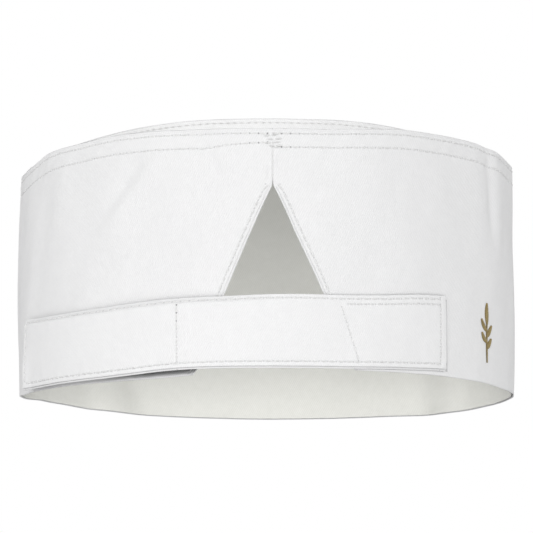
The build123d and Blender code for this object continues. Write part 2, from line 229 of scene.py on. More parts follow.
def lean(arc, z):
    """The band's left end leans in under the strap, most at its free corner."""
    arc = signed(arc)
    corner, deepest, top = -27.3, 4.6, 27
    part = np.where(arc > corner, ease(-8, corner, arc), ease(-92, -27, arc)) * (arc < 0)
    by_height = np.clip((top - z) / top, 0, 1) ** 1.3 * (1 - 0.68 * ease(3.2, 0.3, z))
    return -deepest * part * by_height


def hang(arc, z):
    """Everything that moves the band's cloth off its plan curve, apart from the stitches."""
    return folds(arc, z) + belly(arc, z) + lean(arc, z)


# ------------------------------------------------------------------ vent and rows of stitches
VENT_APEX, VENT_FOOT = 61.1, 27.5  # its height, and its half width at z = 0
VENT_SLOPE = VENT_FOOT / VENT_APEX
VENT_STRETCH = math.hypot(1, VENT_SLOPE)  # edge length per mm of height
PITCH = 3.0  # of most rows of stitches
UPPER_ROW, LOWER_ROW = 1.7, 6.3  # hem rows, depth under the rim
VENT_ROW = 2.1  # in from the vent's edge

# Ridges beside an edge or seam: (centre, half width, height)
RIM_LIP = [(0.35, 0.35, 0.10), (0.95, 0.22, -0.07)]
VENT_LIP = [(0.28, 0.24, 0.12), (0.74, 0.15, -0.22), (1.45, 0.3, 0.07)]
SEAM_GROOVE = [(-0.1, 0.26, -0.20), (0.95, 0.6, 0.22), (-1.6, 1.3, -0.10)]


def vent_half(z):
    """Half width of the vent at height z."""
    below = np.clip(VENT_APEX - z, 0, None)
    return VENT_SLOPE * below + 0.14 * np.sin(math.pi * np.clip(below / 16.0, 0, 1))


def from_vent(arc, z):
    """Distance from the vent's edge, square to it."""
    return (np.abs(arc) - vent_half(z)) / VENT_STRETCH


def shift_vent(arc, z):
    """The foot of the vent has shifted a little to the right."""
    shift = 0.08 + 0.5 * ease(46, 22, z)
    return arc + shift * ridge(signed(arc), 45.0) * ease(62, 56, z)


def lower_row(arc):
    """Depth of the lower hem row; it rises near the centre back on the left."""
    arc = signed(arc)
    rise = 1.5 * ease(-26, -1.5, arc) * (arc <= 0.2)
    return LOWER_ROW - rise + 0.25 * ease(-60, -110, arc) * (arc < 0)


def row_hollow(across, along, depth, swing, width, pitch=PITCH):
    """The hollow a row of stitches pulls, deepening by swing with each stitch."""
    return -(depth + swing * np.cos(TAU * along / pitch)) * ridge(across, width)


def stitched(arc, z):
    """Hollows along the band's rows of stitches, and the swells between them."""
    arc = signed(arc)
    depth = height(arc) - z
    lower = lower_row(arc)
    out = 0.0
    for row in (UPPER_ROW, lower):
        across = depth - row
        out = out + row_hollow(across, arc, depth=0.07, swing=0.06, width=0.55)
        out = out - 0.07 * ridge(across, 1.6)
    out = out + 0.10 * ridge(depth - 0.5 * (UPPER_ROW + lower), 1.6)
    # small slanted puckers that the rows pull up, then the rolled lip along the rim
    puckers = ripple(arc + 0.8 * depth, pitch=7.1, rise=0.06, wobble=1.3 * np.sin(arc / 19.0))
    out = out + puckers * ridge(depth - 4.5, 5.0) + ridges(depth, RIM_LIP)
    # beside the vent: a rolled lip, a sharp groove, then the row
    inset = from_vent(arc, z)
    along = (VENT_APEX - z) * VENT_STRETCH
    vent = ridges(inset, VENT_LIP)
    vent = vent + row_hollow(inset - VENT_ROW, along, depth=0.07, swing=0.05, width=0.5)
    puckers = ripple(z + 0.6 * np.abs(arc), pitch=6.3, rise=0.04)
    vent = vent + puckers * ridge(inset - VENT_ROW - 1.5, 3.0)
    out = out + vent * ease(VENT_APEX + 2, VENT_APEX - 3, z)
    # the seam over the vent: a narrow groove with the right side lying higher
    seam = ease(VENT_APEX - 1.5, VENT_APEX + 2, z) * ease(4.6, 6.6, depth)
    out = out + seam * ridges(arc, SEAM_GROOVE)
    # a small pucker left of the seam, just over the vent
    return out - 0.35 * ridge(arc + 1.5, 0.7) * ridge(z - 64.5, 1.6)


def on_band(arc, z, off):
    arc = shift_vent(arc, z)
    return place(arc, off + hang(arc, z), settle_z(arc, z))


def band(arc, z, off):
    """Point on the band's outer cloth."""
    return on_band(arc, z, off + stitched(arc, z))


def lining_outer(arc, z, off):
    return on_band(arc, z, off + 0.6 * stitched(arc, z))


def lining_inner(arc, z, off):
    """Where the rows pull the outer cloth in, they pull the lining out to meet it."""
    sewn = stitched(arc, z)
    return on_band(arc, z, off + np.where(sewn < 0, -0.55 * sewn, -0.3 * sewn))


# ------------------------------------------------------------------ the strap's shape
STRAP_WIDTH = 25.0
STRAP_RIGHT, STRAP_LEFT = 65.9, -108.0
LIFT_START, LIFT_END = 21.4, -31.0  # where the strap leaves the band and where it is fully off
LIFT_LOW, LIFT_RISE = 0.12, 2.28
LOW_ROW, HIGH_ROW = 2.2, STRAP_WIDTH - 1.3
BOX_ROW, BOX_PITCH = STRAP_WIDTH - 3.1, 2.5  # a short row under the high one
SLANT_LEAN, SLANT_PITCH = 0.33, 2.75
# upright rows, right to left
RIGHT_ROW, RIGHT_PITCH = STRAP_RIGHT - 3.0, 2.2
TAIL_ROW = STRAP_LEFT + 1.7
GRIP_ROW, GRIP_PITCH = LIFT_END - 0.1, 2.8

# How far the strap's edges wander up or down: (arc, rise)
STRAP_BOTTOM = [
    (-108, -1.5), (-100, -1.6), (-88, -1.7), (-70, -1.8), (-59, -1.8), (-47, -1.4), (-37, -0.8),
    (-29, -0.5), (0, -0.4), (24, 0.0), (45, 0.9), (65, 1.9)]
STRAP_TOP = [
    (-108, -1.6), (-100, -2.1), (-81, -2.8), (-61, -2.8), (-44, -2.2), (-33, -1.8), (-16, -1.8),
    (0, -1.2), (17, -0.9), (24, -0.85), (40, 0.15), (52, 1.45), (65, 2.45)]


def strap_z(arc, z):
    part = z / STRAP_WIDTH
    return z + along_strap(arc, STRAP_BOTTOM) * (1 - part) + along_strap(arc, STRAP_TOP) * part


def slant(z):
    """arc of the slanted row at height z on the strap."""
    return 29.2 - SLANT_LEAN * (z - 1.6)


def from_slant(arc, z):
    return (arc - slant(z)) / math.hypot(1, SLANT_LEAN)


def strap_sewn(arc, z):
    """Hollows along the strap's rows of stitches."""
    out = 0.0
    for row in (LOW_ROW, HIGH_ROW):
        out = out + row_hollow(z - row, arc, depth=0.07, swing=0.05, width=0.5)
        out = out - 0.04 * ridge(z - row, 1.3)
    for row, pitch in ((RIGHT_ROW, RIGHT_PITCH), (TAIL_ROW, PITCH), (GRIP_ROW, GRIP_PITCH)):
        out = out + row_hollow(arc - row, z, depth=0.10, swing=0.06, width=0.5, pitch=pitch)
    out = out + ridges(arc, [(RIGHT_ROW + 1.15, 0.5, 0.10), (GRIP_ROW + 1.1, 0.5, 0.06)])
    across = from_slant(arc, z)
    body = ease(0.8, 2.2, z) * ease(24.4, 23.0, z)
    hollow = row_hollow(across, z, depth=0.12, swing=0.05, width=0.5, pitch=SLANT_PITCH)
    out = out + (hollow - 0.09 * ridge(across + 1.4, 1.2)) * body
    box = ease(0, 1.2, across) * ease(RIGHT_ROW + 0.6, RIGHT_ROW - 0.6, arc)
    out = out + box * row_hollow(
        z - BOX_ROW, arc, depth=0.08, swing=0.05, width=0.45, pitch=BOX_PITCH)
    # a flat-topped swell between the long rows
    out = out + 0.12 * np.exp(-((z - STRAP_WIDTH / 2) / 9.0) ** 4)
    # slanted puckers and soft upright ripples near the rows
    puckers = ripple(arc + 0.7 * z, pitch=8.3, rise=0.04)
    out = out + puckers * (ridge(z - 3, 3.0) + ridge(z - 22, 3.0))
    upright = ripple(arc, pitch=5.3, rise=0.035, wobble=1.7 * np.sin(arc / 11.0))
    return out + upright * (ridge(z - 4, 3.0) + ridge(z - 21, 3.0))


def strap(arc, z, off, sewn=1.0):
    """Point on the strap; off counts from its inner face, sewn is the share of the hollows."""
    lifted = ease(LIFT_START, LIFT_END, arc)
    fold_share = 0.35 + 0.65 * ease(10, 26, arc)
    off = off + LIFT_LOW + LIFT_RISE * lifted + folds(arc, z) * fold_share + belly(arc, z)
    off = off + sewn * strap_sewn(arc, z)
    # between the creases the strap hangs slack; at its free end the top sits in, the foot out
    off = off + 0.5 * ridge(arc + 4, 16.0) * (z / STRAP_WIDTH - 0.35)
    off = off + ease(-101, -108, arc) * (0.75 - 1.25 * ease(4, 20, z))
    # where it is lifted its top edge rolls in against the band
    roll = 1.75 - 0.9 * ease(-99, -107, arc)
    off = off - roll * ease(22.4, 25, z) * lifted
    return place(arc, off, strap_z(arc, z))


# ------------------------------------------------------------------ shader helpers
MIX_FACTOR, MIX_A, MIX_B, MIX_RESULT = 0, 6, 7, 2  # sockets of a colour Mix node


class Link:
    """An output of a shader node; arithmetic on it adds Math nodes."""

    def __init__(self, socket):
        self.socket = socket

    def __add__(self, other):
        return calc("ADD", self, other)

    def __sub__(self, other):
        return calc("SUBTRACT", self, other)

    def __rsub__(self, other):
        return calc("SUBTRACT", other, self)

    def __mul__(self, other):
        return calc("MULTIPLY", self, other)

    def __truediv__(self, other):
        return calc("DIVIDE", self, other)


def node(tree, kind, inputs=None, output=0, **settings):
    """Add a node and return one output; inputs maps a socket to a value or a Link."""
    new = tree.nodes.new("ShaderNode" + kind)
    for key, value in settings.items():
        setattr(new, key, value)
    for key, value in (inputs or {}).items():
        if isinstance(value, Link):
            tree.links.new(value.socket, new.inputs[key])
        else:
            new.inputs[key].default_value = value
    return Link(new.outputs[output]) if len(new.outputs) else None


def calc(operation, *inputs):
    tree = next(value.socket.id_data for value in inputs if isinstance(value, Link))
    return node(tree, "Math", dict(enumerate(inputs)), operation=operation)


def sine(value):
    return calc("SINE", value)


def empty_tree(owner):
    owner.use_nodes = True
    owner.node_tree.nodes.clear()
    return owner.node_tree


def uv_mm(tree, layer):
    """A UV map, in millimetres, as a vector and its two axes."""
    vector = node(tree, "UVMap", uv_map=layer)
    axes = node(tree, "SeparateXYZ", {0: vector}).socket.node.outputs
    return vector, Link(axes[0]), Link(axes[1])


def noise(vector, scale, detail=3.0, roughness=0.55):
    return node(vector.socket.id_data, "TexNoise", {
        "Scale": scale, "Detail": detail, "Roughness": roughness, "Vector": vector})


def ramp(value, start, end):
    """0 at start, 1 at end, eased."""
    return node(value.socket.id_data, "MapRange", {
        "From Min": start, "From Max": end, "Value": value}, interpolation_type="SMOOTHSTEP")


def mix_colour(tree, factor, dark, light):
    return node(tree, "Mix", {MIX_FACTOR: factor, MIX_A: (*dark, 1), MIX_B: (*light, 1)},
                output=MIX_RESULT, data_type="RGBA")


def finish_surface(tree, relief, strength, distance, inputs):
    """Principled surface with a bump; distance is in metres."""
    normal = node(tree, "Bump", {"Strength": strength, "Distance": distance, "Height": relief})
    shader = node(tree, "BsdfPrincipled", {**inputs, "Normal": normal})
    node(tree, "OutputMaterial", {0: shader})


# ------------------------------------------------------------------ twill
WALE_SLOPE = 1.9
WALE_STEEPNESS = math.hypot(1, WALE_SLOPE)


def needle_row(layer, at=0, pitch=PITCH, upright=False, pull=None, wraps=False):
    """A row of needle holes on a UV layer, at a place across it. pull is the stretch over
    which the painted shade in the holes deepens; wraps measures it from the seam on either side."""
    return dict(layer=layer, at=at, pitch=pitch, upright=upright, pull=pull, wraps=wraps)


def needle_holes(along, across, at, pitch):
    """1 at the needle holes of a row."""
    part = calc("FRACT", along / pitch + 0.5)
    from_hole = calc("ABSOLUTE", part - 0.5) * pitch
    from_row = across - at if at != 0 else across
    distance = calc("SQRT", from_hole * from_hole + from_row * from_row)
    return 1.0 - ramp(distance, 0.12, 0.46)


def needle_hole_shade(tree, rows, cloth_u, cloth_v):
    """Painted shade in the needle holes: deeper where the thread pulls hard."""
    hole_shade = None
    for row in rows:
        if row["layer"] == "fab":
            along, across = (cloth_v, cloth_u) if row["upright"] else (cloth_u, cloth_v)
        else:
            _, along, across = uv_mm(tree, row["layer"])
        holes = needle_holes(along, across, row["at"], row["pitch"])
        darkness = 0.22
        if row["pull"]:
            place_along = calc("MINIMUM", along, GIRTH - along) if row["wraps"] else along
            darkness = ramp(place_along, *row["pull"]) * 0.40 + 0.22
        holes = holes * darkness
        hole_shade = holes if hole_shade is None else calc("MAXIMUM", hole_shade, holes)
    return hole_shade


# ambient occlusion, used to paint shade into the cloth's colour
def crevice(tree, distance):
    return node(tree, "AmbientOcclusion", {"Distance": distance}, output="AO", samples=8)


def twill(name, colour, tint, rows, bump, yarn_gap_shade, wale=0.72, crease_shade=0.42, slot_shade=0.85,
          end_shadow=False):
    """Twill cloth: slanted wales cut by the cross yarns, slubs, mottling and needle holes.

    wale and bump are in millimetres; yarn_gap_shade is painted shade between the yarns, crease_shade
    painted shade in creases, slot_shade painted shade between layers; end_shadow draws a painted
    shadow line beside the strap's right end.
    """
    material = bpy.data.materials.new(name)
    tree = empty_tree(material)
    vector, u, v = uv_mm(tree, "fab")
    slub = (noise(vector, 1.7, detail=2.0) - 0.5) * 0.35
    across_wales = u * (WALE_SLOPE / WALE_STEEPNESS) - v * (1 / WALE_STEEPNESS) + slub
    wales = sine(across_wales * (TAU / wale))
    cross_yarns = sine(v * (TAU / (wale * 0.62)))
    fine_yarns = sine(u * (TAU / (wale * 0.55)))
    weave = wales * 0.30 + (wales * cross_yarns * 0.12 + fine_yarns * 0.06) + 0.5
    fuzz = noise(vector, 4.5, detail=4.0, roughness=0.7)
    grain = noise(vector, 1.15, roughness=0.6)
    mottle = noise(vector, 0.06, detail=4.0, roughness=0.6)
    blots = noise(vector, 0.32, roughness=0.6)
    # the share of each pattern in the colour
    factor = (weave * 0.5 + (blots - 0.5) * 0.7) + (
        mottle * 0.5 + (fuzz * 0.12 + (grain - 0.5) * 0.5))
    factor = calc("MAXIMUM", calc("MINIMUM", factor, 1.0), 0.0)
    base = mix_colour(tree, factor, tint, colour)

    # painted shade: the cloth is darker between the yarns
    shade = 1.0 - (1.0 - weave) * yarn_gap_shade
    # painted shade in the needle holes
    hole_shade = needle_hole_shade(tree, rows, u, v)
    shade = shade * (1.0 - hole_shade)
    # painted shadow: a thin dark line on the band beside the strap's right end
    if end_shadow:
        _, from_line, _ = uv_mm(tree, "lap")
        shade = shade * (1.0 - (1.0 - ramp(from_line, 0.1, 0.85)) * 0.32)
    # painted shade: the cloth greys in a crease, from ambient occlusion close by
    shade = shade * (1.0 - (1.0 - crevice(tree, distance=0.0011)) * crease_shade)
    # painted shadow: the cloth goes dark down in a deep slot between two layers, but not at its bottom
    # edge
    slot_shadow = (1.0 - ramp(crevice(tree, distance=0.012), 0.15, 0.5)) * ramp(v, 1.1, 2.3)
    shade = shade * (1.0 - slot_shadow * slot_shade)
    grey = node(tree, "CombineColor", {0: shade, 1: shade, 2: shade})
    shaded = node(tree, "Mix", {MIX_FACTOR: 1.0, MIX_A: base, MIX_B: grey},
                  output=MIX_RESULT, data_type="RGBA", blend_type="MULTIPLY")

    relief = weave + (fuzz * 0.35 + grain * 0.6) - hole_shade * 4.0
    finish_surface(tree, relief, strength=0.9, distance=bump * MM, inputs={
        "Base Color": shaded, "Roughness": fuzz * 0.12 + 0.76, "Sheen Weight": 0.12,
        "Sheen Roughness": 0.5, "Specular IOR Level": 0.28})
    return material


# ------------------------------------------------------------------ thread, felt and tape
def thread(name, colour, dark, roughness=0.55, twist=0.5, sheen=0.25):
    """Twisted thread: a two-ply spiral from the along and round coordinates."""
    material = bpy.data.materials.new(name)
    tree = empty_tree(material)
    vector, along, turn = uv_mm(tree, "fab")
    plies = sine(along * (TAU / twist) + turn * (2 * TAU)) * 0.5 + 0.5
    factor = calc("MINIMUM", plies * 0.6 + noise(vector, 3.0) * 0.6, 1.0)
    finish_surface(tree, plies, strength=0.8, distance=0.00004, inputs={
        "Base Color": mix_colour(tree, factor, dark, colour), "Roughness": roughness,
        "Sheen Weight": sheen, "Specular IOR Level": 0.4})
    return material


def felt(name, colour, dark, scale, bump, roughness=0.9, woven=False):
    """Matted fibres, with a plain weave over them if woven."""
    material = bpy.data.materials.new(name)
    tree = empty_tree(material)
    vector = node(tree, "UVMap", uv_map="fab")
    fibres = noise(vector, scale, detail=5.0, roughness=0.7)
    if woven:
        _, u, v = uv_mm(tree, "fab")
        weave = sine(u * (TAU / 0.7)) * sine(v * (TAU / 0.55))
        fibres = fibres * 0.5 + (weave * 0.3 + 0.25)
    factor = calc("MINIMUM", fibres * 0.7 + noise(vector, 0.08) * 0.5, 1.0)
    finish_surface(tree, fibres, strength=0.9, distance=bump * MM, inputs={
        "Base Color": mix_colour(tree, factor, dark, colour), "Roughness": roughness,
        "Sheen Weight": 0.2})
    return material


BAND_ROWS = [
    needle_row("hem", at=UPPER_ROW, pull=(13.0, 1.0), wraps=True),
    needle_row("hem2", pull=(13.0, 1.0), wraps=True),
    needle_row("vent", at=VENT_ROW)]
STRAP_ROWS = [
    needle_row("fab", at=LOW_ROW),
    needle_row("fab", at=HIGH_ROW),
    needle_row("fab", at=RIGHT_ROW, pitch=RIGHT_PITCH, upright=True),
    needle_row("fab", at=TAIL_ROW, upright=True),
    needle_row("fab", at=GRIP_ROW, pitch=GRIP_PITCH, upright=True, pull=(13.0, 20.0)),
    needle_row("slant", pitch=SLANT_PITCH),
    needle_row("box", pitch=BOX_PITCH)]

OUTER_TWILL = twill(
    "outer_twill", colour=(0.875, 0.875, 0.878), tint=(0.80, 0.80, 0.805), rows=BAND_ROWS,
    bump=0.075, yarn_gap_shade=0.0484, end_shadow=True)
LINING_TWILL = twill(
    "lining_twill", colour=(0.80, 0.80, 0.765), tint=(0.70, 0.70, 0.66), rows=BAND_ROWS,
    bump=0.03, yarn_gap_shade=0.033, crease_shade=0.4, slot_shade=0.2)
STRAP_TWILL = twill(
    "strap_twill", colour=(0.885, 0.885, 0.888), tint=(0.82, 0.82, 0.825), rows=STRAP_ROWS,
    bump=0.065, yarn_gap_shade=0.044, wale=0.66)
FELT = felt("interlining_felt", colour=(0.82, 0.82, 0.80), dark=(0.66, 0.66, 0.63),
            scale=2.5, bump=0.08)
WEB = felt("tape_web", colour=(0.84, 0.84, 0.83), dark=(0.62, 0.62, 0.60), scale=3.0,
           bump=0.1, roughness=0.6, woven=True)
PILE = felt("loop_pile", colour=(0.86, 0.86, 0.85), dark=(0.62, 0.62, 0.60), scale=2.2, bump=0.25)
LOOP_FILAMENT = thread("loop_filament", colour=(0.90, 0.90, 0.89), dark=(0.74, 0.74, 0.72),
                       roughness=0.45)
HOOK_FILAMENT = thread("hook_filament", colour=(0.86, 0.86, 0.84), dark=(0.70, 0.70, 0.67),
                       roughness=0.35, sheen=0.0)
SEWING_THREAD = thread("sewing_thread", colour=(0.93, 0.93, 0.925), dark=(0.70, 0.70, 0.69))
GOLD_THREAD = thread("gold_thread", colour=(0.47, 0.35, 0.115), dark=(0.15, 0.105, 0.034),
                     roughness=0.38, twist=0.45)


# ------------------------------------------------------------------ mesh helpers
def pair(first, second):
    return np.stack([first, second], -1)


def make(name, points, faces, uvs, material, walls=()):
    """Mesh from points in mm and per-point UVs; walls are flat faces with sharp edges."""
    mesh = bpy.data.meshes.new(name)
    mesh.from_pydata((points * MM).tolist(), [], faces + list(walls))
    corners = np.zeros(len(mesh.loops), np.int32)
    mesh.loops.foreach_get("vertex_index", corners)
    for layer, values in uvs.items():
        uv_layer = mesh.uv_layers.new(name=layer)
        uv_layer.data.foreach_set("uv", np.asarray(values, np.float32)[corners].ravel())
    mesh.polygons.foreach_set("use_smooth", [True] * len(faces) + [False] * len(walls))
    mesh.validate()
    mesh.update()
    piece = bpy.data.objects.new(name, mesh)
    bpy.context.scene.collection.objects.link(piece)
    mesh.materials.append(material)
    if walls:
        wall_edges = {key for face in mesh.polygons[len(faces):] for key in face.edge_keys}
        sharp = (mesh.attributes.get("sharp_edge")
                 or mesh.attributes.new("sharp_edge", "BOOLEAN", "EDGE"))
        sharp.data.foreach_set("value", [edge.key in wall_edges for edge in mesh.edges])
    return piece


def grid_faces(ids):
    return np.stack([ids[:-1, :-1], ids[:-1, 1:], ids[1:, 1:], ids[1:, :-1]], -1).reshape(-1, 4)


def sheet(name, grid, thick, middle, surfaces, uvs, material, rounding, open_ends=(False, False)):
    """Closed thin sheet on a grid of (arc, z, distance to the edge).

    surfaces are its outer and inner face, half of thick either side of middle, rounded off
    over the outermost rounding and welded along the border. An open end gets a flat wall
    straight across the cloth, so that two pieces of one layer meet with no gap.
    """
    arc, z, edge = grid
    half = thick / 2 * np.sqrt(np.clip(1 - (1 - np.clip(edge / rounding, 0, 1)) ** 2, 0, 1))
    outer = surfaces[0](arc, z, middle + half)
    inner = surfaces[1](arc, z, middle - half)
    weld = np.zeros(arc.shape, bool)
    weld[[0, -1]] = True
    for column, is_open in zip((0, -1), open_ends):
        if not is_open:
            weld[:, column] = True
    outer_ids = np.arange(arc.size).reshape(arc.shape)
    inner_ids = outer_ids.copy()
    inner_ids[~weld] = arc.size + np.arange((~weld).sum())
    outer[weld] = (0.5 * (outer + inner))[weld]
    points = np.concatenate([outer.reshape(-1, 3), inner[~weld]])
    faces = np.concatenate([grid_faces(outer_ids), grid_faces(inner_ids)[:, ::-1]]).tolist()
    walls = []
    for column, is_open in zip((0, -1), open_ends):
        if not is_open:
            continue
        near, far = outer_ids[:, column].tolist(), inner_ids[:, column].tolist()
        for i in range(len(near) - 1):
            # welded corners come twice, and leave a triangle
            wall = list(dict.fromkeys([near[i], far[i], far[i + 1], near[i + 1]]))
            walls.append(wall if column == 0 else wall[::-1])
    uvs = {key: np.concatenate([uv.reshape(-1, 2), uv[~weld]]) for key, uv in uvs.items()}
    return make(name, points, faces, uvs, material, walls)


def unit(vectors):
    return vectors / (np.linalg.norm(vectors, axis=2, keepdims=True) + 1e-12)


def tubes(name, centres, normals, radii, sides, material):
    """Closed tubes; centres and normals are (tube, step, xyz), radii one per step."""
    count, steps, _ = centres.shape
    along = unit(np.gradient(centres, axis=1))
    across = unit(np.cross(along, normals))
    normals = np.cross(across, along)
    turn = np.arange(sides) / sides * TAU
    ring = (np.cos(turn)[:, None] * normals[:, :, None, :]
            + np.sin(turn)[:, None] * across[:, :, None, :])
    points = centres[:, :, None, :] + radii[:, None, None] * ring
    ids = np.arange(count * steps * sides).reshape(count, steps, sides)
    beside = np.roll(ids, -1, axis=2)
    quads = np.stack([ids[:, :-1], beside[:, :-1], beside[:, 1:], ids[:, 1:]], -1).reshape(-1, 4)
    faces = quads.tolist() + ids[:, 0, ::-1].tolist() + ids[:, -1].tolist()
    lengths = np.linalg.norm(np.diff(centres, axis=1), axis=2)
    # each tube starts elsewhere in the thread's pattern
    run = np.concatenate([np.zeros((count, 1)), np.cumsum(lengths, 1)], 1)
    run = run + np.arange(count)[:, None] * 7.31
    uv = pair(np.broadcast_to(run[:, :, None], ids.shape), np.broadcast_to(turn / TAU, ids.shape))
    return make(name, points.reshape(-1, 3), faces, {"fab": uv.reshape(-1, 2)}, material)


def centre_line(surface, arc, z, off, side=1.0):
    """Points on a surface, and unit vectors away from it."""
    points = surface(arc, z, off)
    return points, unit(surface(arc, z, off + 0.2 * side) - points)


THREAD_RADIUS = 0.17
STITCH_RADII = THREAD_RADIUS * np.array([0.55, 0.85, 1.0, 1.04, 1.05, 1.04, 1.0, 0.85, 0.55])
STITCH_DIP = 0.34  # how far a stitch's ends sink into the cloth


def stitches(path, length, surface, pitch=PITCH, gap=0.42, lift=0.01, radius=THREAD_RADIUS,
             side=1.0, start=0.0):
    """Centre lines of single stitches. path(run) gives (arc, z) at a distance along the row;
    side is 1 on an outer face and -1 on an inner one."""
    part = np.linspace(0, 1, len(STITCH_RADII))
    first = start + np.arange(int(length / pitch)) * pitch + gap / 2
    arc, z = path(first[:, None] + part[None, :] * (pitch - gap))
    arch = np.clip(np.sin(math.pi * part), 0, 1) ** 0.45
    off = side * (lift - STITCH_DIP * (1 - arch) + radius * 0.55 * arch)
    return centre_line(surface, arc, z, off[None, :] + 0 * arc, side)


def straight(arc, z, arc_step=0.0, z_step=0.0):
    """A path from (arc, z) with these steps per mm of run."""
    return lambda run: (arc + arc_step * run, z + z_step * run)


def fit(piece, follows, slot, *parts):
    """Attach a piece to the part it follows, or only bake it in place if it follows a blend of two;
    then hide its CAD parts. slot is not used.
    """
    if isinstance(follows, str):
        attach(piece, follows)
    else:
        first, second, arc_start, arc_end, off = follows
        start, end = (tuple((place(arc, off, STRAP_WIDTH / 2) * MM).tolist())
                      for arc in (arc_start, arc_end))
        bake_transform(piece)
    if parts:
        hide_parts(*parts)
    return piece


def sew(name, rows, follows, *parts):
    centres, normals = (np.concatenate(group) for group in zip(*rows))
    piece = tubes(name, centres, normals, STITCH_RADII, 7, SEWING_THREAD)
    fit(piece, follows, "sewing_thread", *parts)


# ------------------------------------------------------------------ the band's sheets
# Grid lines close together at an edge; distances from it
EDGE_STEPS = [0, 0.05, 0.14, 0.28, 0.5, 0.8, 1.15, 1.55, 1.95, 2.4]
END_STEPS = np.array([
    0, 0.05, 0.14, 0.28, 0.45, 0.62, 0.8, 0.95, 1.1, 1.3, 1.6, 1.9, 2.15, 2.4, 2.65])
RIM_STEPS = [
    0, 0.05, 0.14, 0.28, 0.45, 0.62, 0.78, 0.92, 1.06, 1.22, 1.45, 1.7, 1.95, 2.2, 2.6, 3.2, 3.9,
    4.6, 5.2, 5.7, 6.05, 6.3, 6.55, 6.9, 7.4, 8.2, 9.2]
RIM_STEPS_COARSE = [0, 0.05, 0.14, 0.3, 0.8, 1.8, 3.2, 5.0, 7.0, 9.2]
FAR, VENT_FAR = 40.0, 50.0  # UV values out of reach of any row

LINING_THICK, LINING_MIDDLE = 0.46, -1.08
HEM_THICK = 0.24


def band_grid(z_step, arc_step=0.75, trim=0.0, rim_steps=RIM_STEPS):
    """Grid from the right leg of the vent round to the left leg; above the vent the two ends
    meet at the seam. trim pulls every edge back."""
    inner = np.arange(3.0, GIRTH - 3.0 + 1e-6, arc_step)
    even = np.concatenate([END_STEPS, inner, (GIRTH - END_STEPS)[::-1]])
    top = height(even) - trim
    rows = [top - step for step in rim_steps]
    for part in np.linspace(0, 1, int(round(70 / z_step)) + 2)[1:-1]:
        rows.append((top - rim_steps[-1]) * (1 - part) + (EDGE_STEPS[-1] + trim) * part)
    rows += [np.full_like(top, trim + step) for step in reversed(EDGE_STEPS)]
    z = np.array(rows)[::-1]

    from_seam = np.minimum(even, GIRTH - even)
    side = np.where(even < GIRTH / 2, 1.0, -1.0)
    half = vent_half(z)
    shear = (half + trim * np.where(half > 0, VENT_STRETCH, 0)) * (1 - ease(0, 75, from_seam))
    # over the vent the ends lap, most in the hem, so that no slit shows
    lap = 0.13 + 0.27 * ease(6.6, 5.2, height(even) - z)
    gap = 0.012 - lap * ease(VENT_APEX + 0.5, VENT_APEX + 3, z)
    arc = even + side * (shear + gap * (1 - ease(0, 6, from_seam)))
    edge = np.minimum(np.minimum(top - z, z - trim), from_seam)
    return arc, z, np.clip(edge, 0, None)


def band_uvs(arc, z):
    near = np.where(arc > GIRTH / 2, arc - GIRTH, arc)
    depth = height(arc) - z
    inset = np.where(z > VENT_APEX + 1.5, VENT_FAR, from_vent(near, z))
    # the lap layer measures from just past the strap's right end, and places the painted shadow line
    # there
    from_end = np.abs(near - STRAP_RIGHT - 1.0) + 30 * (near < STRAP_RIGHT - 1)
    return {
        "fab": pair(arc, z),
        "hem": pair(arc, depth),
        "hem2": pair(arc, depth - lower_row(arc)),
        "vent": pair((VENT_APEX - z) * VENT_STRETCH, inset),
        "lap": pair(np.where((z > 1.5) & (z < 26.6), from_end, FAR), z)}


grid = band_grid(1.5)
outer_shell = sheet("band_outer_shell", grid, 0.50, -0.25, (band, band), band_uvs(*grid[:2]),
                    OUTER_TWILL, rounding=0.42)
fit(outer_shell, "band", "outer_twill", "band_outer")

grid = band_grid(1.8, trim=0.32)
lining = sheet("band_lining_shell", grid, LINING_THICK, LINING_MIDDLE,
               (lining_outer, lining_inner), band_uvs(*grid[:2]), LINING_TWILL, rounding=0.40)
fit(lining, "band", "lining_twill", "band_lining")

grid = band_grid(6.0, arc_step=3.0, trim=3.0, rim_steps=RIM_STEPS_COARSE)
core = sheet("band_interlining_sheet", grid, 0.10, -0.72, (band, band),
             {"fab": pair(*grid[:2])}, FELT, rounding=0.1)
fit(core, "band", "interlining", "band_interlining")

# The outer cloth is turned over the rim and down the inside as a narrow hem.
# Its middle line in section: (off, depth under the rim)
HEM_LINE = np.array([
    (-0.30, 0.16), (-0.40, 0.02), (-0.62, -0.07), (-0.90, -0.06), (-1.20, 0.02), (-1.40, 0.22),
    (-1.48, 0.60), (-1.50, 1.2), (-1.50, 2.0), (-1.50, 3.4), (-1.50, 4.8), (-1.50, 6.2),
    (-1.50, 7.4), (-1.49, 8.0)])
HEM_RUN = np.r_[0, np.cumsum(np.hypot(*np.diff(HEM_LINE, axis=0).T))]
HEM_LENGTH = float(HEM_RUN[-1])
HEM_DOWN = 1.6  # run after which the hem lies down the inside


def hem_line(run):
    return np.array([np.interp(run, HEM_RUN, column) for column in HEM_LINE.T])


def hem(arc, run, lift):
    """Point at a run along the hem's middle line, lifted square to it."""
    ahead = hem_line(run + 0.12) - hem_line(run - 0.12)
    square = np.array([-ahead[1], ahead[0]]) / (np.hypot(*ahead) + 1e-9)
    off, depth = hem_line(run) + square * lift
    z = height(arc) - depth
    sewn = stitched(arc, np.minimum(z, height(arc)))
    pull = sewn * ease(-1.0, -0.5, off) - 0.5 * np.minimum(sewn, 0) * ease(-1.2, -1.45, off)
    return place(arc, off + hang(arc, z) + pull, settle_z(arc, z))


